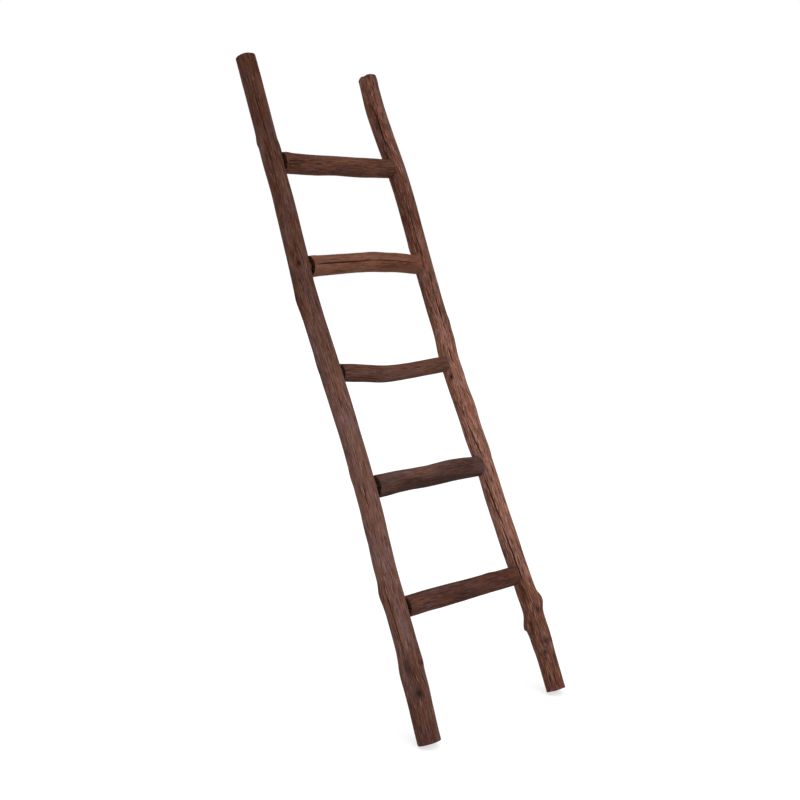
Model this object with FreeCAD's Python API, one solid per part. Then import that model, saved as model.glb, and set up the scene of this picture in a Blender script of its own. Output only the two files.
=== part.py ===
"""Leaning decorative ladder: two natural round poles, five pole rungs and the screws that lock them.

The ladder is built upright in its own plane, in millimetres: x runs along the rungs to the right, y to the
back and z up the rails. The finished pieces are then leaned back as one and set down with their feet on z = 0.
"""
import FreeCAD, Part
import math
import os
from itertools import accumulate

Vector = FreeCAD.Vector

# Stance: degrees between the rails and the vertical, with the tops to the back
lean = 23.5

# Rails: the two poles follow upright lines this far apart and wander about them
rail_spread = 425.0
left_rail_diameter = 52.0
right_rail_diameter = 51.0
rail_end_ease = 4.0

# Spaces along the rails: from the floor to the lowest rung, from axis to axis of the rungs, which are numbered
# from the top, and from the highest rung to the top of each rail
floor_to_rung_5 = 316.0
rung_5_to_4 = 295.0
rung_4_to_3 = 285.0
rung_3_to_2 = 287.0
rung_2_to_1 = 282.0
rung_1_to_left_top = 295.5
rung_1_to_right_top = 289.0

# Thickness of each rung, and how its sawn ends meet the rails
rung_1_diameter = 51.0
rung_2_diameter = 50.5
rung_3_diameter = 41.5
rung_4_diameter = 52.5
rung_5_diameter = 48.5
rung_end_ease = 3.0
shoulder_gap = 0.4

# Turned tenons on the rung ends and the blind sockets bored for them
tenon_diameter = 24.0
tenon_past_axis = 6.0
tenon_clearance = 0.15
socket_end_gap = 0.8

# Countersunk screws through the tenons, driven from the back of the rails
screw_diameter = 4.0
screw_length = 45.0
screw_point_length = 6.0
screw_head_diameter = 8.0
screw_head_rim = 0.6
screw_head_sink = 1.0
screw_clearance = 0.15
drive_span = 4.4
drive_width = 1.0
drive_depth = 1.6

# Cutting tools run this far past the faces that they open
overrun = 5.0

# Each length of pole between two listed sections is made in this many steps
steps_between = 4

# Shape of the left pole, one row for each space from the foot up. An entry is the share of that space where
# the section lies, then shares of the pole's diameter: shift to the right, shift to the back, and girth.
# The first entry of each row but the lowest is the section that carries a rung.
left_rail_shares = [
    [(0.0, -0.24, 0.0, 1.06), (0.34, -0.12, 0.02, 1.07), (0.54, -0.08, 0.04, 1.10), (0.61, -0.02, 0.04, 1.08),
     (0.70, 0.01, 0.05, 1.03), (0.82, 0.02, 0.06, 1.02)],
    [(0.0, 0.03, 0.08, 1.02), (0.14, 0.0, 0.08, 1.08), (0.23, 0.03, 0.07, 1.0), (0.58, 0.10, 0.05, 0.99),
     (0.79, 0.14, 0.03, 1.0)],
    [(0.0, 0.13, 0.0, 1.01), (0.27, 0.09, -0.03, 0.99), (0.63, 0.02, -0.07, 0.99), (0.78, -0.02, -0.08, 1.02)],
    [(0.0, -0.10, -0.10, 1.01), (0.26, -0.15, -0.09, 1.01), (0.50, -0.20, -0.07, 1.0),
     (0.69, -0.22, -0.04, 1.05), (0.85, -0.17, 0.0, 1.01)],
    [(0.0, -0.10, 0.02, 1.01), (0.30, 0.0, 0.06, 0.98), (0.72, 0.10, 0.08, 0.96)],
    [(0.0, 0.09, 0.08, 0.98), (0.35, 0.12, 0.05, 0.97), (0.66, 0.13, 0.02, 0.98), (1.0, 0.13, 0.0, 0.98)],
]

# Shape of the right pole, in the same form: a step and a knot swell its lowest space
right_rail_shares = [
    [(0.0, 0.34, 0.0, 0.95), (0.23, 0.34, -0.01, 0.96), (0.40, 0.32, -0.02, 1.01), (0.48, 0.30, -0.02, 1.03),
     (0.54, 0.26, -0.02, 1.12), (0.63, 0.31, -0.02, 1.03), (0.69, 0.35, -0.03, 1.05), (0.74, 0.41, -0.03, 1.15),
     (0.79, 0.33, -0.03, 1.07), (0.85, 0.27, -0.03, 1.03)],
    [(0.0, 0.20, -0.04, 0.99), (0.31, 0.09, -0.05, 0.99), (0.65, 0.0, -0.06, 0.98)],
    [(0.0, -0.03, -0.06, 0.96), (0.27, -0.10, -0.04, 1.02), (0.42, -0.12, -0.02, 0.99),
     (0.58, -0.14, -0.01, 1.03), (0.80, -0.21, 0.02, 1.0)],
    [(0.0, -0.21, 0.04, 1.0), (0.14, -0.18, 0.05, 0.99), (0.29, -0.07, 0.06, 0.98), (0.60, -0.06, 0.08, 0.97)],
    [(0.0, -0.02, 0.08, 0.97), (0.36, 0.0, 0.04, 0.98), (0.70, 0.02, 0.0, 1.0)],
    [(0.0, -0.05, -0.04, 1.02), (0.33, -0.18, -0.04, 1.02), (0.63, -0.25, -0.01, 1.02),
     (0.83, -0.14, 0.04, 1.0), (1.0, -0.05, 0.09, 0.98)],
]

# Shape of each rung from left to right, the lowest first: share of its length between the rails, then shares of
# its diameter: rise, shift to the back, and girth
rung_shares = [
    [(0.0, 0.01, 0.0, 1.02), (0.25, 0.01, 0.02, 1.02), (0.60, -0.01, 0.03, 0.99), (1.0, -0.02, 0.0, 0.97)],
    [(0.0, -0.05, 0.0, 1.06), (0.12, -0.03, 0.0, 1.04), (0.20, 0.0, -0.01, 1.0), (0.32, 0.0, -0.02, 0.97),
     (0.45, -0.01, -0.03, 0.99), (0.58, 0.02, -0.02, 1.02), (0.72, 0.06, -0.01, 1.05), (0.86, 0.05, 0.0, 1.02),
     (1.0, 0.02, 0.0, 0.98)],
    [(0.0, 0.05, 0.0, 1.02), (0.12, 0.0, 0.02, 1.02), (0.25, -0.10, 0.04, 1.0), (0.37, -0.21, 0.05, 1.03),
     (0.47, -0.23, 0.05, 1.0), (0.64, -0.17, 0.03, 0.97), (0.86, -0.03, 0.01, 0.98), (1.0, 0.05, 0.0, 0.98)],
    [(0.0, -0.07, 0.0, 1.02), (0.10, -0.01, -0.01, 1.01), (0.28, 0.06, -0.03, 1.0), (0.48, 0.14, -0.05, 1.0),
     (0.61, 0.17, -0.05, 1.01), (0.81, 0.12, -0.03, 0.99), (1.0, 0.04, 0.0, 0.98)],
    [(0.0, 0.0, 0.0, 1.02), (0.10, 0.01, 0.01, 1.03), (0.30, 0.01, 0.03, 1.0), (0.50, 0.04, 0.04, 0.98),
     (0.68, 0.03, 0.03, 1.02), (0.88, 0.04, 0.01, 0.99), (1.0, 0.04, 0.0, 0.97)],
]

# Heights of the rungs along the upright rails, the lowest first
rung_heights = list(accumulate([floor_to_rung_5, rung_5_to_4, rung_4_to_3, rung_3_to_2, rung_2_to_1]))
rung_diameters = [rung_5_diameter, rung_4_diameter, rung_3_diameter, rung_2_diameter, rung_1_diameter]


def section(place, direction, radius):
    """A round section of a pole, square to the given direction."""
    return Part.Wire(Part.Circle(place, direction, radius).toShape())


def foot_height(radius):
    """Height of a square-sawn foot in the upright ladder that brings its eased back edge to the floor."""
    slope = math.radians(lean)
    edge = (radius - rail_end_ease) * math.sin(slope) + rail_end_ease
    return edge / math.cos(slope) - rail_end_ease


def rail_sections(line_x, top_space, diameter, shape_shares):
    """Places and radii of a rail's sections from the foot up, and of the five among them that carry rungs."""
    foot = foot_height(shape_shares[0][0][-1] * diameter / 2)
    limits = [foot] + rung_heights + [rung_heights[-1] + top_space]
    sections = []
    seats = []
    for low, high, row in zip(limits, limits[1:], shape_shares):
        for along_share, side_share, back_share, girth_share in row:
            place = Vector(line_x + side_share * diameter, back_share * diameter, low + along_share * (high - low))
            sections.append((place, girth_share * diameter / 2))
            if along_share == 0 and low > foot:
                seats.append(sections[-1])
    return sections, seats


def sawn_end(place, radius, direction, ease):
    """The last short length of a pole, sawn square at the given place with the sawn edge worn round."""
    block = Part.makeCylinder(radius, 2 * ease, place, direction)
    rims = [edge for edge in block.Edges if edge.CenterOfMass.isEqual(place, ease)]
    return block.makeFillet(ease, rims)


def slope_at(sections, number):
    """How fast place and radius change with length at one section, from the sections on either side of it."""
    before = sections[max(number - 1, 0)]
    after = sections[min(number + 1, len(sections) - 1)]
    run = (after[0] - before[0]).Length
    return (after[0] - before[0]) / run, (after[1] - before[1]) / run


def smooth(sections):
    """The given sections with more of them in between, along curves that run smoothly through them all."""
    result = []
    for number, (start, stop) in enumerate(zip(sections, sections[1:])):
        run = (stop[0] - start[0]).Length
        leave = slope_at(sections, number)
        arrive = slope_at(sections, number + 1)
        for step in range(steps_between):
            t = step / steps_between
            weights = (2 * t ** 3 - 3 * t ** 2 + 1, 3 * t ** 2 - 2 * t ** 3)
            pulls = ((t ** 3 - 2 * t ** 2 + t) * run, (t ** 3 - t ** 2) * run)
            place, radius = (start[part] * weights[0] + stop[part] * weights[1]
                             + leave[part] * pulls[0] + arrive[part] * pulls[1] for part in range(2))
            result.append((place, radius))
    return result + [sections[-1]]


def pole(sections, direction, ease):
    """A natural pole through round sections, from the sawn end at the first to the one at the last."""
    first, first_radius = sections[0]
    last, last_radius = sections[-1]
    inner = [(first + direction * 2 * ease, first_radius)]
    inner += sections[1:-1]
    inner += [(last - direction * 2 * ease, last_radius)]
    wires = [section(place, direction, radius) for place, radius in smooth(inner)]
    solid = Part.makeLoft(wires, True, True)
    ends = [sawn_end(first, first_radius, direction, ease), sawn_end(last, last_radius, -direction, ease)]
    return solid.multiFuse(ends).removeSplitter()


def socket(seat, inward):
    """The blind bore in a rail for one tenon, opening towards the other rail."""
    place, radius = seat
    end = place - inward * (tenon_past_axis + socket_end_gap)
    reach = tenon_past_axis + socket_end_gap + radius + overrun
    return Part.makeCylinder(tenon_diameter / 2 + tenon_clearance, reach, end, inward)


def screw_tip(seat):
    """The point of the screw at one seat: its head lies sunk in the back of the rail."""
    place, radius = seat
    return place + Vector(0, radius - screw_head_sink - screw_length, 0)


def screw_profile(seat, clearance, tail):
    """A countersunk screw turned about its axis, wider by a clearance and with its head drawn out by a tail."""
    back = Vector(0, 1, 0)
    shank = screw_diameter / 2 + clearance
    head = screw_head_diameter / 2 + clearance
    flare = (screw_head_diameter - screw_diameter) / 2
    tip = screw_tip(seat)
    neck = screw_length - screw_head_rim - flare
    point = Part.makeCone(clearance, shank, screw_point_length + clearance, tip - back * clearance, back)
    body = Part.makeCylinder(shank, neck - screw_point_length, tip + back * screw_point_length, back)
    cone = Part.makeCone(shank, head, flare, tip + back * neck, back)
    rim = Part.makeCylinder(head, screw_head_rim + tail, tip + back * (neck + flare), back)
    return point.multiFuse([body, cone, rim]).removeSplitter()


def screw(seat):
    """One countersunk wood screw with a cross recess in its head."""
    top = screw_tip(seat) + Vector(0, screw_length - drive_depth, 0)
    solid = screw_profile(seat, 0, 0)
    for width, height in ((drive_span, drive_width), (drive_width, drive_span)):
        corner = top - Vector(width / 2, 0, height / 2)
        solid = solid.cut(Part.makeBox(width, drive_depth + overrun, height, corner))
    return solid


def screw_hole(seat):
    """The hole for one screw, open at the back of the rail."""
    return screw_profile(seat, screw_clearance, screw_head_sink + overrun)


def shoulder_x(rail, seat, height, diameter, inward):
    """Where a rung's sawn end comes to rest against a rail: just clear of its nearest face at that height."""
    place, radius = seat
    corner = Vector(place.x - 2 * radius, place.y - 2 * radius, height - diameter / 2)
    band = rail.common(Part.makeBox(4 * radius, 4 * radius, diameter, corner))
    box = band.optimalBoundingBox(False, False)
    face = box.XMax if inward.x > 0 else box.XMin
    return face + inward.x * shoulder_gap


def rung(start, stop, left_seat, right_seat, height, diameter, shape_shares):
    """A pole rung between two shoulders, with a turned tenon on each end drilled for its screw."""
    right = Vector(1, 0, 0)
    left_y = left_seat[0].y
    right_y = right_seat[0].y
    sections = []
    for along_share, rise_share, back_share, girth_share in shape_shares:
        y = left_y + along_share * (right_y - left_y) + back_share * diameter
        place = Vector(start + along_share * (stop - start), y, height + rise_share * diameter)
        sections.append((place, girth_share * diameter / 2))
    solid = pole(sections, right, rung_end_ease)
    for seat, shoulder, inward in ((left_seat, start, right), (right_seat, stop, -right)):
        end = seat[0] - inward * tenon_past_axis
        reach = abs(shoulder - end.x) + overrun
        solid = solid.fuse(Part.makeCylinder(tenon_diameter / 2, reach, end, inward))
    solid = solid.removeSplitter()
    return solid.cut(screw_hole(left_seat)).cut(screw_hole(right_seat))


right = Vector(1, 0, 0)
left_sections, left_seats = rail_sections(0, rung_1_to_left_top, left_rail_diameter, left_rail_shares)
right_sections, right_seats = rail_sections(rail_spread, rung_1_to_right_top, right_rail_diameter, right_rail_shares)
left_rail = pole(left_sections, Vector(0, 0, 1), rail_end_ease)
right_rail = pole(right_sections, Vector(0, 0, 1), rail_end_ease)

pieces = {}
for number, height in enumerate(rung_heights):
    diameter = rung_diameters[number]
    left_seat = left_seats[number]
    right_seat = right_seats[number]
    start = shoulder_x(left_rail, left_seat, height, diameter, right)
    stop = shoulder_x(right_rail, right_seat, height, diameter, -right)
    name = f"rung_{len(rung_heights) - number}"
    pieces[name] = rung(start, stop, left_seat, right_seat, height, diameter, rung_shares[number])

for side, rail, seats, inward in (("left", left_rail, left_seats, right), ("right", right_rail, right_seats, -right)):
    cuts = [socket(seat, inward) for seat in seats] + [screw_hole(seat) for seat in seats]
    pieces[f"{side}_rail"] = rail.cut(cuts)
    pieces[f"{side}_rail_screws"] = Part.Compound([screw(seat) for seat in seats])

# Lean the finished ladder back, then bring the bottom centre of its box to the origin
for piece in pieces.values():
    piece.rotate(Vector(0, 0, 0), Vector(1, 0, 0), -lean)
box = Part.Compound(list(pieces.values())).optimalBoundingBox(False, False)
home = Vector(-box.Center.x, -box.Center.y, -box.ZMin)

os.makedirs("parts", exist_ok=True)
for name, piece in pieces.items():
    piece.translate(home)
    piece.exportStep(f"parts/{name}.step")
    solids = len(piece.Solids)
    print(f"{name}: {solids} solid{'s' if solids > 1 else ''}, valid {piece.isValid()}, {piece.Volume:.0f} mm3")
print(f"width {box.XLength:.1f}, depth {box.YLength:.1f}, height {box.ZLength:.1f} mm")
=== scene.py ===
import math

import bmesh
import bpy
import numpy as np
from mathutils import Matrix


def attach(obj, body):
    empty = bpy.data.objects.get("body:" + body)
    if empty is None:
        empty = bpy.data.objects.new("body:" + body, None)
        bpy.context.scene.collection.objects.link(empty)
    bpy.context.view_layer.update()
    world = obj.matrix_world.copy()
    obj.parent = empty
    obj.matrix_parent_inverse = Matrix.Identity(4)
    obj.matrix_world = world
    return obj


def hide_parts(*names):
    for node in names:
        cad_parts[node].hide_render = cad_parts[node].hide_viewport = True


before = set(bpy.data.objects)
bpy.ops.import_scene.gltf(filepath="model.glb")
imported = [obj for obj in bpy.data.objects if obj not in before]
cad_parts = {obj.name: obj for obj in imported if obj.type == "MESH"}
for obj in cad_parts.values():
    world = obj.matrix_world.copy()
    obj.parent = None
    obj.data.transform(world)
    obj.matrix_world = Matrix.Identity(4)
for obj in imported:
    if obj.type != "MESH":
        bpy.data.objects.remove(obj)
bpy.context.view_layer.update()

# Left rail: the trunk of a young tree, debarked with a drawknife, dried until it checked, sawn square at
# both ends and stained dark brown. Its inner side has a blind socket for each rung, and its back a sunk
# screw hole that meets each socket. It leans back with the other pieces.
lean = math.radians(23.5)
rail_frame = Matrix.Rotation(lean, 3, "X")
rail_radius = 0.026
rail_around = 128
rail_cuts = (23, 24)
rail_ease = 0.0008
socket_radius = 0.01215
socket_past_axis = 0.0068
countersink = {"vertices": 32, "radius1": 0.00405, "radius2": 0.0057, "depth": 0.005}
countersink_seat = 0.0012
same_point = 0.00005
same_level = 0.0001


def points_of(mesh):
    """The places of a mesh's vertices, one row each."""
    places = np.empty(3 * len(mesh.vertices))
    mesh.vertices.foreach_get("co", places)
    return places.reshape(-1, 3)


def pole_line(node, turn, outer_side):
    """How a CAD pole runs in a frame with Z along it: its sawn ends, and the centre and radius of its cuts
    between them. A rail is measured on its outer side only, because its sockets open the inner one. A
    rung, which has no outer side, ends at its shoulders and not at its tenons' tips."""
    first_cut = 0.005
    cut_spacing = 0.01
    square_on = 0.999
    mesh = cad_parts[node].data
    points = points_of(mesh) @ np.array(turn).T
    low, high = points[:, 2].min(), points[:, 2].max()
    if outer_side == 0:
        middle = (low + high) / 2
        faces = [(turn @ face.normal, points[face.vertices[0], 2]) for face in mesh.polygons]
        low = max(level for normal, level in faces if normal.z < -square_on and level < middle)
        high = min(level for normal, level in faces if normal.z > square_on and level > middle)
    ends = np.empty(2 * len(mesh.edges), dtype=int)
    mesh.edges.foreach_get("vertices", ends)
    start, stop = points[ends[0::2]], points[ends[1::2]]
    levels = np.linspace(low + first_cut, high - first_cut, round((high - low) / cut_spacing))
    rows = []
    for level in levels:
        crossing = (start[:, 2] < level) != (stop[:, 2] < level)
        rise = stop[crossing] - start[crossing]
        cut = start[crossing] + rise * ((level - start[crossing, 2]) / rise[:, 2])[:, None]
        least, most = cut.min(axis=0), cut.max(axis=0)
        radius = (most[1] - least[1]) / 2
        centre_x = {-1: least[0] + radius, 0: (least[0] + most[0]) / 2, 1: most[0] - radius}[outer_side]
        rows.append((centre_x, (least[1] + most[1]) / 2, radius))
    rows = np.array(rows)
    rows[1:-1] = (rows[:-2] + 2 * rows[1:-1] + rows[2:]) / 4
    return {"low": low, "high": high, "levels": levels - low, "rows": rows}


def straight_blank(name, radius, length, ease, around, cuts):
    """A straight round tube along Z, in even rings of faces, that stops short of both ends by the worn
    edge."""
    bpy.ops.object.select_all(action="DESELECT")
    bpy.ops.mesh.primitive_cylinder_add(vertices=around, radius=radius, depth=length - 2 * ease,
                                        end_fill_type="NOTHING", location=(0, 0, length / 2))
    blank = bpy.context.object
    blank.name = name
    bpy.ops.object.transform_apply(location=True)
    bpy.ops.object.mode_set(mode="EDIT")
    bpy.ops.mesh.select_mode(type="EDGE")
    for number in cuts:
        bpy.ops.mesh.select_all(action="DESELECT")
        shape = bmesh.from_edit_mesh(blank.data)
        for edge in shape.edges:
            edge.select_set(abs(edge.verts[0].co.z - edge.verts[1].co.z) > same_level)
        bmesh.update_edit_mesh(blank.data)
        bpy.ops.mesh.subdivide(number_cuts=number)
    bpy.ops.object.mode_set(mode="OBJECT")
    return blank


def roughen(blank, name, size, stretch, height, start):
    """Raises ridges of a given width on a blank, drawn out along the grain, that start at their own place
    in the pattern so that no two poles are alike."""
    pattern = bpy.data.textures.new(name, "CLOUDS")
    pattern.noise_scale = size
    pattern.noise_depth = 2
    blank.scale = (1, 1, 1 / stretch)
    blank.location = (start, 0, 0)
    relief = blank.modifiers.new(name, "DISPLACE")
    relief.texture = pattern
    relief.texture_coords = "GLOBAL"
    relief.strength = height
    bpy.context.view_layer.update()
    bpy.ops.object.modifier_apply(modifier=name)
    blank.scale = (1, 1, 1)
    blank.location = (0, 0, 0)


def close_end(blank, level, outward, steps):
    """Draws one open end of a blank in, ring by ring. Each step runs on along the pole by a length and
    leaves a share of the girth. The last ring closes to a point."""
    bpy.ops.object.mode_set(mode="EDIT")
    bpy.ops.mesh.select_mode(type="VERT")
    bpy.ops.mesh.select_all(action="DESELECT")
    shape = bmesh.from_edit_mesh(blank.data)
    for vert in shape.verts:
        vert.select_set(abs(vert.co.z - level) < same_level)
    shape.select_flush(True)
    bmesh.update_edit_mesh(blank.data)
    for run, share in steps:
        bpy.ops.mesh.extrude_region_move(TRANSFORM_OT_translate={"value": (0, 0, outward * run)})
        bpy.ops.transform.resize(value=(share, share, 1), center_override=(0, 0, level))
    bpy.ops.mesh.extrude_region_move(TRANSFORM_OT_translate={"value": (0, 0, 0)})
    bpy.ops.mesh.merge(type="CENTER")
    bpy.ops.object.mode_set(mode="OBJECT")


def worn_edge(radius, ease):
    """Steps of close_end for the worn round edge of a sawn end."""
    turns = [math.radians(degrees) for degrees in (0, 30, 60, 90)]
    steps = []
    for before, after in zip(turns, turns[1:]):
        share = (radius - ease * (1 - math.cos(after))) / (radius - ease * (1 - math.cos(before)))
        steps.append((ease * (math.sin(after) - math.sin(before)), share))
    return steps


def screw_places(node, turn):
    """Where each screw of a rail sits in the rail's frame: the top of its head, and along."""
    least_spacing = 0.05
    points = points_of(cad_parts[node].data) @ np.array(turn).T
    points = points[np.argsort(points[:, 2])]
    groups = np.split(points, np.flatnonzero(np.diff(points[:, 2]) > least_spacing) + 1)
    return [(group[:, 1].max(), (group[:, 2].min() + group[:, 2].max()) / 2) for group in groups]


def bore(blank, line, screws, inward):
    """Bores a blank for its rungs' tenons and sinks its screw holes, all with one cutter. The slivers that
    this leaves are merged and its many-sided faces split, so that the mesh stays closed."""
    reach = 2 * rail_radius
    bpy.ops.object.select_all(action="DESELECT")
    cutters = []
    for head, along in screws:
        level = along - line["low"]
        centre_y = np.interp(level, line["levels"], line["rows"][:, 1])
        middle = inward * (reach / 2 - socket_past_axis)
        bpy.ops.mesh.primitive_cylinder_add(vertices=48, radius=socket_radius, depth=reach,
                                            rotation=(0, math.pi / 2, 0), location=(middle, 0, level))
        cutters.append(bpy.context.object)
        middle = head - centre_y - countersink_seat + countersink["depth"] / 2
        bpy.ops.mesh.primitive_cone_add(rotation=(-math.pi / 2, 0, 0), location=(0, middle, level),
                                        **countersink)
        cutters.append(bpy.context.object)
    for cutter in cutters:
        cutter.select_set(True)
    bpy.ops.object.join()
    cutter = bpy.context.object
    bpy.ops.object.select_all(action="DESELECT")
    bpy.context.view_layer.objects.active = blank
    blank.select_set(True)
    drill = blank.modifiers.new("bores", "BOOLEAN")
    drill.object = cutter
    drill.operation = "DIFFERENCE"
    drill.solver = "EXACT"
    bpy.ops.object.modifier_apply(modifier="bores")
    bpy.data.objects.remove(cutter)
    bpy.ops.object.mode_set(mode="EDIT")
    bpy.ops.mesh.select_all(action="SELECT")
    bpy.ops.mesh.remove_doubles(threshold=same_point)
    bpy.ops.mesh.quads_convert_to_tris(quad_method="SHORTEST_DIAGONAL", ngon_method="BEAUTY")
    bpy.ops.object.mode_set(mode="OBJECT")


def turn_from(angle, degrees):
    """The shortest turn, in radians, from a place in degrees to each angle round a pole."""
    return (angle - np.radians(degrees) + math.pi) % (2 * math.pi) - math.pi


def grow(pole, line, radius, knots, cracks, chips, paling_and_painted_light):
    """Gives a straight blank its life: knots and swellings stand out and part the grain, drying cracks
    open along it, chips are gone from its sawn edges, and it bends and tapers as the CAD pole does.
    Attributes keep where the grain runs, how dark each place is, from knots, dark patches and the painted
    shade in the cracks, and how much paler it is: paler along given heights, with painted light round the
    pole, paler toward a lit side and darker away from it as painted shade."""
    skin_from, skin_over = 0.8, 0.1
    fullness = 1.02
    grain_turn, grain_reach = 0.7, 2.5
    knot_core = 3
    crack_wander, crack_wave = 0.6, 0.0071
    crack_draw = 3
    chip_run = 0.02
    rim_from, rim_over = 0.5, 0.4
    mesh = pole.data
    points = points_of(mesh)
    along = points[:, 2]
    length = line["high"] - line["low"]
    angle = np.arctan2(points[:, 1], points[:, 0])
    out = np.hypot(points[:, 0], points[:, 1])
    skin = np.clip((out / radius - skin_from) / skin_over, 0, 1)
    out = np.where(skin > 0, out * fullness * radius / out[skin == 1].mean(), out)
    grain_angle = angle.copy()
    grain_out = out.copy()
    dark_wood_and_painted_shade = np.zeros(len(points))
    for height, degrees, width, above, below, lift, shade in knots:
        aside = turn_from(angle, degrees)
        rise = along - height
        spread = (radius * aside / width) ** 2 + (rise / np.where(rise > 0, above, below)) ** 2
        out = out + skin * lift * np.exp(-spread ** 1.5)
        if lift > 0:
            grain_angle = grain_angle - grain_turn * shade * aside * np.exp(-spread / grain_reach)
        dark_wood_and_painted_shade = np.maximum(dark_wood_and_painted_shade, skin * shade * np.exp(-knot_core * spread))
    for heights, degrees, width, depth, shade in cracks:
        path = np.interp(along, heights, degrees)
        path = path + crack_wander * np.sin(along / crack_wave + 90 * heights[0])
        aside = radius * turn_from(angle, path)
        reach = crack_draw * width
        pulled = np.where(np.abs(aside) < reach, np.sign(aside) * aside ** 2 / reach, aside)
        part = (along - heights[0]) / (heights[-1] - heights[0])
        taper = skin * np.sqrt(np.clip(4 * part * (1 - part), 0, 1))
        angle = np.where(taper > 0, angle + (pulled - aside) / radius, angle)
        gape = taper * np.clip(1 - np.abs(pulled) / width, 0, 1)
        out = out - depth * gape
        # Painted shade: each crack is painted dark along its opening.
        dark_wood_and_painted_shade = np.maximum(dark_wood_and_painted_shade, shade * np.minimum(1, 2 * gape))
    level = along.copy()
    for end, degrees, width, depth in chips:
        near_end = np.clip(1 - np.abs(along - end * length) / chip_run, 0, 1)
        near_rim = np.clip((out / radius - rim_from) / rim_over, 0, 1)
        lost = near_end * near_rim * np.exp(-(radius * turn_from(angle, degrees) / width) ** 4)
        level = level + (depth if end == 0 else -depth) * lost
    centre_x, centre_y, girth = (np.interp(along, line["levels"], row) for row in line["rows"].T)
    out = out * girth / radius
    bent = (centre_x + out * np.cos(angle), centre_y + out * np.sin(angle), line["low"] + level)
    mesh.vertices.foreach_set("co", np.stack(bent, axis=1).astype(np.float32).ravel())
    # Painted light and shade: paler along given heights, times a share round the pole that is highest on the
    # lit side and lowest on the far side.
    heights, shares, lit_side, lit_side_strength = paling_and_painted_light
    pale_share = np.interp(along, heights, shares) * (1 - lit_side_strength * (1 - np.cos(turn_from(angle, lit_side))) / 2)
    grain = np.stack((grain_out * np.cos(grain_angle), grain_out * np.sin(grain_angle), along), axis=1)
    grain_kept = mesh.attributes.new("grain", "FLOAT_VECTOR", "POINT")
    grain_kept.data.foreach_set("vector", grain.astype(np.float32).ravel())
    for name, values in (("dark_wood_and_painted_shade", dark_wood_and_painted_shade), ("paling_and_painted_light", pale_share)):
        mesh.attributes.new(name, "FLOAT", "POINT").data.foreach_set("value", values.astype(np.float32))
    mesh.update()


def stand(pole, turn, side_finish, end_finish):
    """Sets a finished pole in its place on the ladder, with its two finishes and its smooth sides. The
    back edge of a rail's foot is worn flat by the floor."""
    pole.data.materials.append(side_finish)
    pole.data.materials.append(end_finish)
    pole.matrix_world = turn.transposed().to_4x4()
    bpy.ops.object.select_all(action="DESELECT")
    bpy.context.view_layer.objects.active = pole
    pole.select_set(True)
    bpy.ops.object.transform_apply(location=True, rotation=True, scale=True)
    places = points_of(pole.data)
    places[:, 2] = np.maximum(places[:, 2], 0)
    pole.data.vertices.foreach_set("co", places.astype(np.float32).ravel())
    bpy.ops.object.shade_smooth_by_angle(angle=math.radians(40))


def mark_ends(blank, length, ease):
    """Gives the flat sawn faces of a blank the second finish."""
    facing_out = 0.8
    for face in blank.data.polygons:
        near_end = face.center.z < ease or face.center.z > length - ease
        face.material_index = 1 if near_end and abs(face.normal.z) > facing_out else 0


def linear(code):
    """A colour written as sRGB hex digits, as linear values with full cover."""
    parts = [int(code[place:place + 2], 16) / 255 for place in (0, 2, 4)]
    return [part / 12.92 if part <= 0.04045 else ((part + 0.055) / 1.055) ** 2.4 for part in parts] + [1.0]


def add(finish, kind, settings, links):
    """Adds one node to a finish, with its settings and what is linked into it."""
    node = finish.node_tree.nodes.new(kind)
    for name, value in settings.items():
        if isinstance(name, int) or name in node.inputs:
            node.inputs[name].default_value = value
        else:
            setattr(node, name, value)
    for name, source in links.items():
        finish.node_tree.links.new(source, node.inputs[name])
    return node
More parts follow.
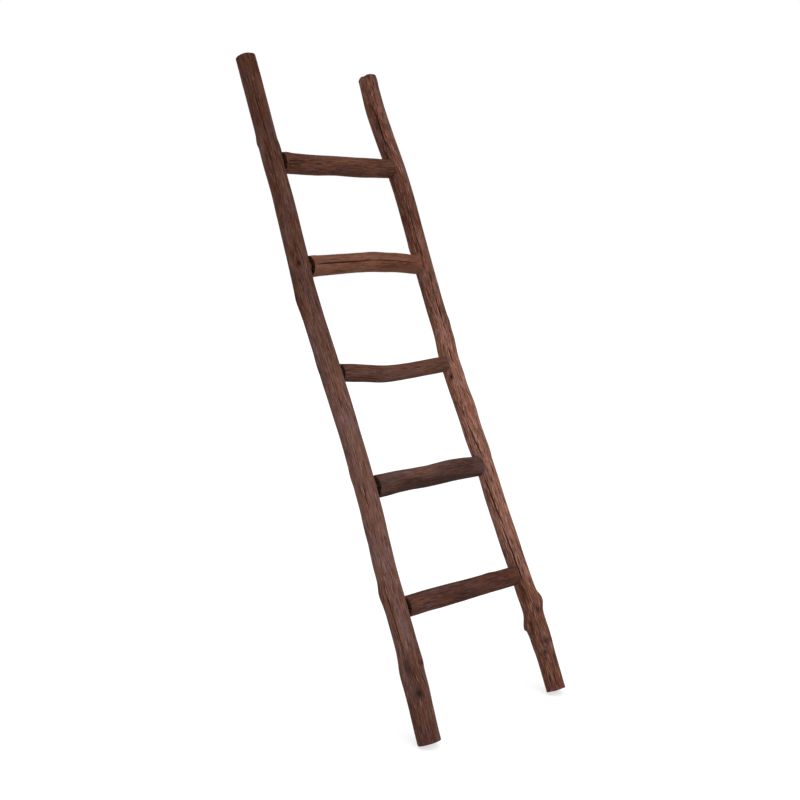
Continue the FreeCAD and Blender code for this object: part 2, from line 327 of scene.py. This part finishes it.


# Stained debarked pole wood: an oil stain that sank in unevenly. The eye sees long dark streaks, redder
# places where the stain is thin, paler fibres, near-black checks and a dull satin. The checks are painted
# near-black as painted shade in them, and each pole is painted paler toward a lit side and darker away from
# it as painted shade, on top of a paling along given heights. The fibres are under 1 mm wide and are drawn
# 1.8 and 3.2 mm wide, so that they show in the picture.
def pole_wood(name, deep, brown, light, pale, strength, grain_start):
    """One pole's finish, from its darkest stain lines to its palest fibres, and how strongly they show."""
    stain_patch = 0.026
    thin_patch = 0.018
    streak_width = 0.0032
    fibre_width = 0.0018
    fleck_width = 0.0023
    finish = bpy.data.materials.new(name)
    finish.use_nodes = True
    finish.node_tree.nodes.clear()
    place = add(finish, "ShaderNodeAttribute", {"attribute_name": "grain"}, {}).outputs["Vector"]
    dark_wood_and_painted_shade = add(finish, "ShaderNodeAttribute", {"attribute_name": "dark_wood_and_painted_shade"}, {}).outputs["Fac"]
    paling_and_painted_light = add(finish, "ShaderNodeAttribute", {"attribute_name": "paling_and_painted_light"}, {}).outputs["Fac"]
    drawn = add(finish, "ShaderNodeMapping", {"Location": (grain_start, 0, 0), "Scale": (1, 1, 1 / 15)},
                {"Vector": place}).outputs["Vector"]
    short = add(finish, "ShaderNodeMapping", {"Location": (grain_start, 0, 0), "Scale": (1, 1, 1 / 5)},
                {"Vector": place}).outputs["Vector"]
    tone = add(finish, "ShaderNodeTexNoise", {"Scale": 1 / stain_patch, "Detail": 2.0, "Roughness": 0.5},
               {"Vector": short}).outputs["Fac"]
    hue = add(finish, "ShaderNodeTexNoise", {"Scale": 1 / thin_patch, "Detail": 1.0},
              {"Vector": short}).outputs["Fac"]
    streaks = add(finish, "ShaderNodeTexNoise", {"Scale": 1 / streak_width, "Detail": 3.0, "Roughness": 0.6},
                  {"Vector": drawn}).outputs["Color"]
    streaks = add(finish, "ShaderNodeSeparateColor", {}, {"Color": streaks}).outputs["Red"]
    fibres = add(finish, "ShaderNodeTexNoise", {"Scale": 1 / fibre_width, "Detail": 2.0, "Roughness": 0.6},
                 {"Vector": drawn}).outputs["Color"]
    fibres = add(finish, "ShaderNodeSeparateColor", {}, {"Color": fibres}).outputs
    fleck = add(finish, "ShaderNodeTexNoise", {"Scale": 1 / fleck_width, "Detail": 2.0, "Roughness": 0.6},
                {"Vector": short}).outputs["Fac"]

    uneven = add(finish, "ShaderNodeMath", {"operation": "MULTIPLY_ADD", 1: 2.4, 2: -1.2},
                 {0: tone}).outputs["Value"]
    # The base turns from brown to light with random tone and the paling attribute, so it carries painted
    # light: paler on the lit side, darker on the far side as painted shade.
    pale_share = add(finish, "ShaderNodeMath", {"operation": "ADD", "use_clamp": True},
               {0: uneven, 1: paling_and_painted_light}).outputs["Value"]
    colour = add(finish, "ShaderNodeMixRGB", {"Color1": linear(brown), "Color2": linear(light)},
                 {"Fac": pale_share}).outputs["Color"]
    thin = add(finish, "ShaderNodeMapRange", {"From Min": 0.26, "From Max": 0.60},
               {"Value": hue}).outputs["Result"]
    colour = add(finish, "ShaderNodeMixRGB", {"blend_type": "MULTIPLY", "Color2": linear("ffe3c3")},
                 {"Fac": thin, "Color1": colour}).outputs["Color"]
    lines = add(finish, "ShaderNodeMapRange", {"From Min": 0.48, "From Max": 0.34, "To Max": 0.8 * strength},
                {"Value": streaks}).outputs["Result"]
    colour = add(finish, "ShaderNodeMixRGB", {"Color2": linear(deep)},
                 {"Fac": lines, "Color1": colour}).outputs["Color"]
    threads = add(finish, "ShaderNodeMapRange",
                  {"From Min": 0.52, "From Max": 0.66, "To Max": 0.8 * strength},
                  {"Value": fibres["Blue"]}).outputs["Result"]
    # Pale fibres show more where the paling is high, on the painted lit side too.
    fibre_paling = add(finish, "ShaderNodeMath", {"operation": "MULTIPLY_ADD", 1: 0.75, 2: 0.25},
               {0: paling_and_painted_light}).outputs["Value"]
    fibre_paling = add(finish, "ShaderNodeMath", {"operation": "MULTIPLY"}, {0: threads, 1: fibre_paling}).outputs["Value"]
    colour = add(finish, "ShaderNodeMixRGB", {"Color2": linear(pale)},
                 {"Fac": fibre_paling, "Color1": colour}).outputs["Color"]
    gaps = add(finish, "ShaderNodeMapRange", {"From Min": 0.48, "From Max": 0.34, "To Max": 0.8 * strength},
               {"Value": fibres["Red"]}).outputs["Result"]
    # Dark gaps fade where the paling is high, on the painted lit side too.
    gap_fading = add(finish, "ShaderNodeMath", {"operation": "MULTIPLY_ADD", 1: -0.4, 2: 1.0},
                 {0: paling_and_painted_light}).outputs["Value"]
    gaps = add(finish, "ShaderNodeMath", {"operation": "MULTIPLY"}, {0: gaps, 1: gap_fading}).outputs["Value"]
    colour = add(finish, "ShaderNodeMixRGB", {"Color2": linear(deep)},
                 {"Fac": gaps, "Color1": colour}).outputs["Color"]
    specks = add(finish, "ShaderNodeMapRange",
                 {"From Min": 0.45, "From Max": 0.30, "To Max": 0.35 * strength},
                 {"Value": fleck}).outputs["Result"]
    colour = add(finish, "ShaderNodeMixRGB", {"Color2": linear(deep)},
                 {"Fac": specks, "Color1": colour}).outputs["Color"]
    # Knots and dark patches are dark wood; in the cracks and beside the right rail's top split this
    # darkening is painted shade.
    colour = add(finish, "ShaderNodeMixRGB", {"Color2": linear("0c0504")},
                 {"Fac": dark_wood_and_painted_shade, "Color1": colour}).outputs["Color"]

    height = add(finish, "ShaderNodeMath", {"operation": "ADD"},
                 {0: fibres["Red"], 1: streaks}).outputs["Value"]
    height = add(finish, "ShaderNodeMath", {"operation": "ADD"}, {0: height, 1: fleck}).outputs["Value"]
    relief = add(finish, "ShaderNodeBump", {"Strength": 0.6, "Distance": 0.0007},
                 {"Height": height}).outputs["Normal"]
    gloss = add(finish, "ShaderNodeMapRange", {"To Min": 0.6, "To Max": 0.85},
                {"Value": fibres["Red"]}).outputs["Result"]
    surface = add(finish, "ShaderNodeBsdfPrincipled", {"Specular IOR Level": 0.02, "IOR": 1.5},
                  {"Base Color": colour, "Roughness": gloss, "Normal": relief}).outputs["BSDF"]
    add(finish, "ShaderNodeOutputMaterial", {}, {"Surface": surface})
    return finish


# Sawn end grain: the saw left the pores open, so the stain went in deep. The eye sees dull dark wood with
# yearly rings about 3 mm apart and drying checks that run out from the pith. The checks are painted
# near-black: painted shade in them.
def end_grain(name, deep, brown):
    """The finish of the sawn ends of a pole."""
    ring_spacing = 0.0029845
    wave_per_scale = 2 * math.pi / 20
    grit_size = 0.0015
    finish = bpy.data.materials.new(name)
    finish.use_nodes = True
    finish.node_tree.nodes.clear()
    place = add(finish, "ShaderNodeAttribute", {"attribute_name": "grain"}, {}).outputs["Vector"]
    flat = add(finish, "ShaderNodeMapping", {"Location": (0.003, -0.002, 0), "Scale": (1, 1, 0)},
               {"Vector": place}).outputs["Vector"]
    rings = add(finish, "ShaderNodeTexWave", {"wave_type": "RINGS", "rings_direction": "Z",
                                              "Scale": wave_per_scale / ring_spacing, "Distortion": 1.5,
                                              "Detail": 2.0, "Detail Scale": 1.0},
                {"Vector": flat}).outputs["Fac"]
    grit = add(finish, "ShaderNodeTexNoise", {"Scale": 1 / grit_size, "Detail": 3.0},
               {"Vector": place}).outputs["Fac"]
    mixed = add(finish, "ShaderNodeMath", {"operation": "MULTIPLY"}, {0: rings, 1: grit}).outputs["Value"]
    colour = add(finish, "ShaderNodeMixRGB", {"Color1": linear(deep), "Color2": linear(brown)},
                 {"Fac": mixed}).outputs["Color"]
    round_pith = add(finish, "ShaderNodeTexGradient", {"gradient_type": "RADIAL"},
                     {"Vector": flat}).outputs["Fac"]
    painted_shade_checks = add(finish, "ShaderNodeTexNoise", {"noise_dimensions": "1D", "Scale": 16.0, "Detail": 1.0},
                 {"W": round_pith}).outputs["Fac"]
    painted_shade_checks = add(finish, "ShaderNodeMapRange", {"From Min": 0.36, "From Max": 0.30, "To Max": 0.9},
                 {"Value": painted_shade_checks}).outputs["Result"]
    # Painted shade: the checks are painted near-black.
    colour = add(finish, "ShaderNodeMixRGB", {"Color2": linear("080403")},
                 {"Fac": painted_shade_checks, "Color1": colour}).outputs["Color"]
    height = add(finish, "ShaderNodeMath", {"operation": "SUBTRACT"},
                 {0: mixed, 1: painted_shade_checks}).outputs["Value"]
    relief = add(finish, "ShaderNodeBump", {"Strength": 0.7, "Distance": 0.0006},
                 {"Height": height}).outputs["Normal"]
    surface = add(finish, "ShaderNodeBsdfPrincipled", {"Roughness": 0.85, "Specular IOR Level": 0.03},
                  {"Base Color": colour, "Normal": relief}).outputs["BSDF"]
    add(finish, "ShaderNodeOutputMaterial", {}, {"Surface": surface})
    return finish


def make_rail(name, outer_side, start, knots, cracks, chips, paling_and_painted_light, finish):
    """One rail, from its blank to its place on the ladder."""
    line = pole_line(name, rail_frame, outer_side)
    length = line["high"] - line["low"]
    rail = straight_blank(name + "_pole", rail_radius, length, rail_ease, rail_around, rail_cuts)
    roughen(rail, name + " swells", 0.030, 5, 0.0024, start)
    roughen(rail, name + " ridges", 0.008, 16, 0.0014, start)
    roughen(rail, name + " fibres", 0.003, 24, 0.0005, start)
    steps = worn_edge(rail_radius, rail_ease) + [(0, 0.75), (0, 0.6)]
    close_end(rail, rail_ease, -1, steps)
    close_end(rail, length - rail_ease, 1, steps)
    mark_ends(rail, length, rail_ease)
    bore(rail, line, screw_places(name + "_screws", rail_frame), -outer_side)
    grow(rail, line, rail_radius, knots, cracks, chips, paling_and_painted_light)
    stand(rail, rail_frame, finish, sawn_finish)
    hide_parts(name)
    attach(rail, "root")


# What grew on a pole and what use did to it, in metres and degrees, and where light and shade are painted on
# it. On a rail 0 degrees is its right side and -90 its front. A knot is its height, place round the pole,
# half width, reach up and down, lift and darkness. A crack is the heights and places it runs through, half
# width, depth and darkness; the darkness of a crack is painted shade in it. A chip is the end it is at,
# place, half width and depth. The paling is heights, shares, lit side and one-sidedness: the pole is paler
# along the heights by the shares, and painted light round it, paler toward the lit side and darker away from
# it as painted shade, the more so the higher the one-sidedness.
left_knots = [
    (1.170, -128, 0.010, 0.016, 0.016, 0.0008, 0.9), (0.111, -125, 0.015, 0.016, 0.022, 0.0010, 0.8),
    (1.084, 164, 0.016, 0.026, 0.026, 0.0015, 0.2), (0.350, 169, 0.015, 0.024, 0.024, 0.0015, 0.2),
    (1.315, -45, 0.020, 0.060, 0.050, 0.0013, 0.0), (1.482, -40, 0.022, 0.026, 0.020, 0.0030, 0.0),
    (0.424, 140, 0.020, 0.035, 0.035, 0.0014, 0.0), (1.512, 140, 0.014, 0.016, 0.010, 0.0020, 0.1),
    (0.509, 140, 0.016, 0.030, 0.030, 0.0014, 0.0), (0.634, 140, 0.014, 0.018, 0.018, 0.0013, 0.0),
    (0.919, 140, 0.016, 0.022, 0.022, 0.0012, 0.0), (0.174, -148, 0.016, 0.060, 0.055, 0.0000, 0.55),
    (0.175, -68, 0.012, 0.014, 0.011, 0.0010, 0.85), (0.130, -122, 0.010, 0.012, 0.010, 0.0014, 0.0),
]
left_cracks = [([0.196, 0.380], [-153, -155], 0.0009, 0.003, 0.7),
               ([1.394, 1.492], [-136, -135], 0.0009, 0.002, 0.5),
               ([1.497, 1.646], [-124, -133], 0.0009, 0.002, 0.4),
               ([0.543, 0.611], [-141, -139], 0.0008, 0.002, 0.5)]
left_chips = [(1, -95, 0.006, 0.0010), (1, -133, 0.040, 0.0030), (0, -133, 0.040, -0.0022)]
# Left rail: paler from about a third of a metre to three quarters of a metre up, and a faint painted light
# toward its front, with painted shade behind.
left_paling_and_painted_light = ([0.0, 0.12, 0.33, 0.75, 1.0, 1.2, 1.75], [0.2, 0.5, 0.9, 0.95, 0.45, 0.3, 0.1], -95, 0.2)
sawn_finish = end_grain("sawn_end_grain", "160b07", "4a2d22")
left_finish = pole_wood("left_rail_stained_pole", "211410", "452d26", "604a49", "836157",
                        strength=0.95, grain_start=0.0)
make_rail("left_rail", -1, 0.0, left_knots, left_cracks, left_chips, left_paling_and_painted_light, left_finish)

# Right rail: a second, slimmer trunk, made in the same way. It checked more in drying: one long crack runs
# down its front, a deep split opens near its chipped top, and a sawn-off twig left a knob low on its right.
right_knots = [
    (0.849, -157, 0.009, 0.014, 0.014, 0.0008, 0.9), (0.238, -55, 0.014, 0.012, 0.024, 0.0030, 0.2),
    (0.166, 150, 0.013, 0.026, 0.003, 0.0042, 0.3), (0.128, -105, 0.022, 0.016, 0.018, 0.0012, 0.6),
    (0.101, -137, 0.008, 0.012, 0.012, 0.0006, 0.9), (0.140, -45, 0.016, 0.022, 0.022, 0.0012, 0.0),
    (0.120, 142, 0.014, 0.018, 0.018, 0.0010, 0.0), (1.229, 140, 0.015, 0.016, 0.012, 0.0010, 0.0),
    # The dark patch at 1.590 m, -150 degrees, is painted shade on the sunken wood beside the top split.
    (1.590, -150, 0.009, 0.110, 0.075, 0.0000, 0.5), (1.195, -128, 0.006, 0.020, 0.008, 0.0000, 0.6),
    (0.644, -45, 0.016, 0.022, 0.022, 0.0014, 0.0), (0.854, -45, 0.016, 0.022, 0.022, 0.0013, 0.0),
    (0.940, -45, 0.018, 0.028, 0.028, 0.0013, 0.0), (1.004, -45, 0.014, 0.016, 0.016, 0.0013, 0.0),
    (1.729, -45, 0.014, 0.018, 0.018, 0.0016, 0.0),
]
right_cracks = [([1.604, 1.660], [-143, -155], 0.0030, 0.003, 0.5),
                ([1.516, 1.612], [-148, -141], 0.0028, 0.006, 0.7),
                ([0.883, 0.930], [-118, -124], 0.0014, 0.004, 0.8),
                ([0.618, 0.720], [-133, -155], 0.0016, 0.004, 0.9),
                ([0.440, 0.504, 0.575], [-140, -152, -164], 0.0018, 0.005, 0.95),
                ([0.292, 0.372, 0.440], [-137, -141, -147], 0.0018, 0.005, 0.95),
                ([1.190, 1.340], [-128, -135], 0.0010, 0.003, 0.7),
                ([0.980, 1.160], [-118, -116], 0.0009, 0.002, 0.5)]
right_chips = [(1, 150, 0.008, 0.0030), (1, -150, 0.006, 0.0018), (1, -133, 0.040, 0.0025),
               (0, -133, 0.040, 0.0022)]
# Right rail: palest from half a metre to about a metre up, and strongly painted light toward its front, a
# little to the left, with painted shade on the far side.
right_paling_and_painted_light = ([0.0, 0.12, 0.24, 0.35, 0.50, 0.80, 1.05, 1.3, 1.5, 1.75],
                [0.1, 0.3, 0.45, 0.8, 1.1, 1.2, 0.6, 0.2, 0.35, 0.2], -116, 0.9)
right_finish = pole_wood("right_rail_stained_pole", "251510", "4e332b", "76574f", "a27669",
                         strength=1.2, grain_start=3.26)
make_rail("right_rail", 1, 1.3, right_knots, right_cracks, right_chips, right_paling_and_painted_light, right_finish)

# Rungs: five shorter poles of the same wood, sawn flat at both ends, with a turned tenon on each end that
# is glued in its socket and held by a screw from behind. The flat ends stand against the round rails. On a
# rung 0 degrees is its top and 90 its front, and heights are lengths from its left shoulder.
rung_frame = Matrix(((0, 0, 1), (0, -1, 0), (1, 0, 0))) @ rail_frame
rung_around = 112
rung_cuts = (9, 17)
tenon_radius = 0.012
tenon_chamfer = 0.001


def make_rung(name, radius, ease, start, knots, cracks, paling_and_painted_light, finish):
    """One rung, from its blank to its place between the rails."""
    line = pole_line(name, rung_frame, 0)
    reach = points_of(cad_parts[name].data) @ np.array(rung_frame).T
    length = line["high"] - line["low"]
    rung = straight_blank(name + "_pole", radius, length, ease, rung_around, rung_cuts)
    roughen(rung, name + " swells", 0.028, 4, 0.0022, start)
    roughen(rung, name + " ridges", 0.008, 12, 0.0012, start)
    roughen(rung, name + " fibres", 0.003, 18, 0.0005, start)
    for level, outward, tenon in ((ease, -1, line["low"] - reach[:, 2].min()),
                                  (length - ease, 1, reach[:, 2].max() - line["high"])):
        steps = worn_edge(radius, ease)
        steps += [(0, tenon_radius / (radius - ease)), (tenon - tenon_chamfer, 1.0)]
        steps += [(tenon_chamfer, (tenon_radius - tenon_chamfer) / tenon_radius)]
        close_end(rung, level, outward, steps)
    mark_ends(rung, length, ease)
    grow(rung, line, radius, knots, cracks, [], paling_and_painted_light)
    stand(rung, rung_frame, finish, shoulder_finish)
    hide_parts(name)
    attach(rung, "root")


shoulder_finish = end_grain("stain_soaked_shoulder", "24140f", "553a30")
# Each rung's paling is painted light: paler toward the given side, 0 its top and 90 its front, and darker
# away from it as painted shade; rungs 4 and 5 carry it at full strength, with their tops painted paler and
# their undersides painted shade.
make_rung("rung_1", radius=0.0255, ease=0.0012, start=2.1,
          knots=[(0.013, 35, 0.020, 0.014, 0.014, 0.0018, 0.0)],
          cracks=[([0.002, 0.060], [99, 101], 0.0009, 0.003, 0.7),
                  ([0.002, 0.045], [120, 122], 0.0008, 0.003, 0.6)],
          paling_and_painted_light=([0.0, 0.4], [0.35, 0.25], 60, 0.8),
          finish=pole_wood("rung_1_stained_pole", "221511", "49312a", "664a43", "7c574e",
                           strength=0.95, grain_start=6.0))
make_rung("rung_2", radius=0.02525, ease=0.0012, start=2.7,
          knots=[(0.013, 30, 0.020, 0.014, 0.014, 0.0016, 0.0),
                 (0.313, 20, 0.030, 0.045, 0.045, 0.0018, 0.0),
                 (0.313, -175, 0.030, 0.045, 0.045, -0.0014, 0.0)],
          cracks=[([0.004, 0.185], [100, 102], 0.0016, 0.004, 0.85),
                  ([0.180, 0.360], [101, 104], 0.0011, 0.003, 0.6)],
          paling_and_painted_light=([0.0, 0.4], [0.85, 0.8], 80, 0.25),
          finish=pole_wood("rung_2_stained_pole", "23150f", "4a3027", "67493f", "7e5649",
                           strength=0.75, grain_start=7.26))
make_rung("rung_3", radius=0.02075, ease=0.0012, start=3.3,
          knots=[(0.079, -178, 0.020, 0.065, 0.065, 0.0013, 0.0)], cracks=[],
          paling_and_painted_light=([0.0, 0.4], [0.5, 0.85], 60, 0.6),
          finish=pole_wood("rung_3_stained_pole", "1e1311", "432f2b", "5a423e", "6a4d46",
                           strength=0.85, grain_start=9.04))
make_rung("rung_4", radius=0.02625, ease=0.0040, start=3.9,
          knots=[(0.264, 55, 0.014, 0.022, 0.022, 0.0015, 0.2)], cracks=[],
          paling_and_painted_light=([0.0, 0.4], [0.62, 0.62], 10, 1.0),
          finish=pole_wood("rung_4_stained_pole", "1f1515", "392b2b", "5c4746", "69504b",
                           strength=0.72, grain_start=10.04))
make_rung("rung_5", radius=0.02425, ease=0.0030, start=4.5,
          knots=[(0.294, 10, 0.020, 0.020, 0.020, 0.0014, 0.0)], cracks=[],
          paling_and_painted_light=([0.0, 0.4], [0.34, 0.34], 20, 1.0),
          finish=pole_wood("rung_5_stained_pole", "1f1210", "402b27", "5e423d", "6e4d46",
                           strength=0.92, grain_start=11.17))

# Screws: ten countersunk zinc-plated wood screws, five down the back of each rail, each sunk a little below
# the surface. The plating gives a cool grey metal with a faint warm cast and a fine matt grain.
zinc_grain_size = 0.0006
zinc = bpy.data.materials.new("zinc_plated_steel")
zinc.use_nodes = True
zinc.node_tree.nodes.clear()
zinc_place = add(zinc, "ShaderNodeTexCoord", {}, {}).outputs["Object"]
zinc_grain = add(zinc, "ShaderNodeTexNoise", {"Scale": 1 / zinc_grain_size, "Detail": 2.0},
                 {"Vector": zinc_place}).outputs["Fac"]
zinc_colour = add(zinc, "ShaderNodeMixRGB", {"Color1": linear("8f8c84"), "Color2": linear("c9c5ba")},
                  {"Fac": zinc_grain}).outputs["Color"]
zinc_gloss = add(zinc, "ShaderNodeMapRange", {"To Min": 0.3, "To Max": 0.5},
                 {"Value": zinc_grain}).outputs["Result"]
zinc_surface = add(zinc, "ShaderNodeBsdfPrincipled", {"Metallic": 1.0},
                   {"Base Color": zinc_colour, "Roughness": zinc_gloss}).outputs["BSDF"]
add(zinc, "ShaderNodeOutputMaterial", {}, {"Surface": zinc_surface})
for name in ("left_rail_screws", "right_rail_screws"):
    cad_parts[name].data.materials.clear()
    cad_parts[name].data.materials.append(zinc)

# Stage: a wide pale floor that glows as a lit table does, so that shadows stay faint, a white room and one
# soft light from the front, for a plain product picture.
floor_finish = bpy.data.materials.new("pale_studio_floor")
floor_finish.use_nodes = True
for socket, value in (("Base Color", linear("a0a0a0")), ("Roughness", 0.9), ("Specular IOR Level", 0.0),
                      ("Emission Color", linear("ffffff")), ("Emission Strength", 0.65)):
    floor_finish.node_tree.nodes["Principled BSDF"].inputs[socket].default_value = value
bpy.ops.object.select_all(action="DESELECT")
bpy.ops.mesh.primitive_plane_add(size=60, location=(0, 0, -0.0005))
floor = bpy.context.object
floor.name = "studio_floor"
floor.data.materials.append(floor_finish)

room = bpy.data.worlds.new("white_room")
room.use_nodes = True
room.node_tree.nodes["Background"].inputs["Color"].default_value = linear("ffffff")
room.node_tree.nodes["Background"].inputs["Strength"].default_value = 1.0
bpy.context.scene.world = room

bpy.ops.object.light_add(type="SUN", rotation=(math.radians(35), 0, math.radians(-5)))
key = bpy.context.object
key.name = "soft_key"
key.data.energy = 1.6
key.data.angle = math.radians(60)

bpy.ops.object.camera_add(location=(-1.92637, -2.06263, 1.10055),
                          rotation=(math.radians(90 - 7.232), 0, math.radians(-43.116)))
camera = bpy.context.object
camera.data.lens = 50
camera.data.sensor_width = 36
bpy.context.scene.camera = camera
bpy.context.scene.view_settings.view_transform = "Standard"
